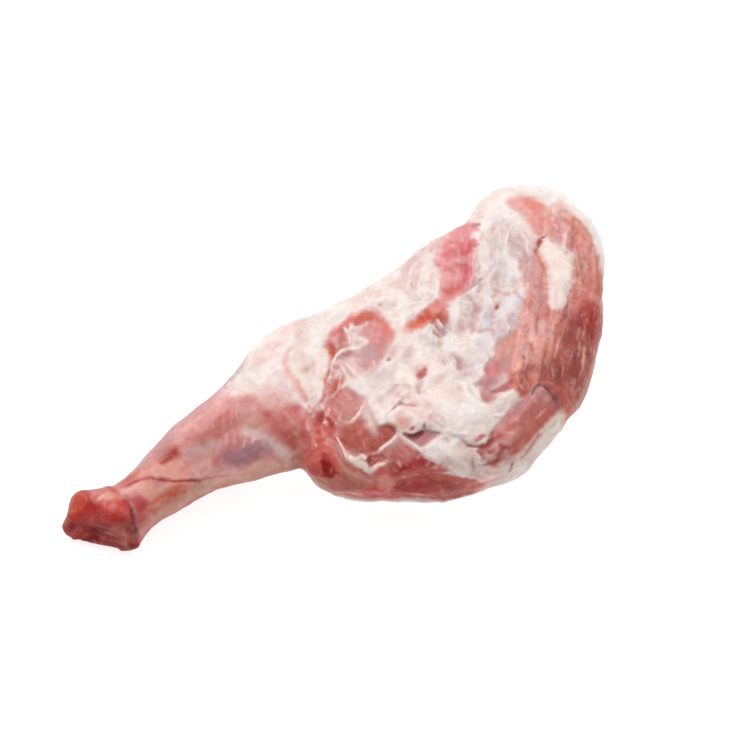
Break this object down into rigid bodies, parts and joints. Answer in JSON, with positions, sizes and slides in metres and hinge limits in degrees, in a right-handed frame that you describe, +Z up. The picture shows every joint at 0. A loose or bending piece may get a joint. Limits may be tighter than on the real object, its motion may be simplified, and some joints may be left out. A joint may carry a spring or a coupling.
{
  "type": "raw lamb shoulder on the bone",
  "caption": "Raw lamb shoulder with its foreshank, lying rib side up, with red muscle, creamy fat and thin membrane.",
  "frame": {"origin": "middle of the joint's outline, on the surface that it rests on", "axes": "+X from the shank end to the edge of the blade, +Y across the joint to its far side, +Z up, away from the surface, on the rib side"},
  "size_m": [0.4373, 0.1994, 0.0706],
  "materials": {
    "raw_lamb": "moist raw lamb: pink to dark red muscle, creamy white fat and pearly membrane, with soft wet highlights"
  },
  "bodies": {
    "root": {"lamb_shoulder": "raw_lamb"}
  },
  "joints": []
}
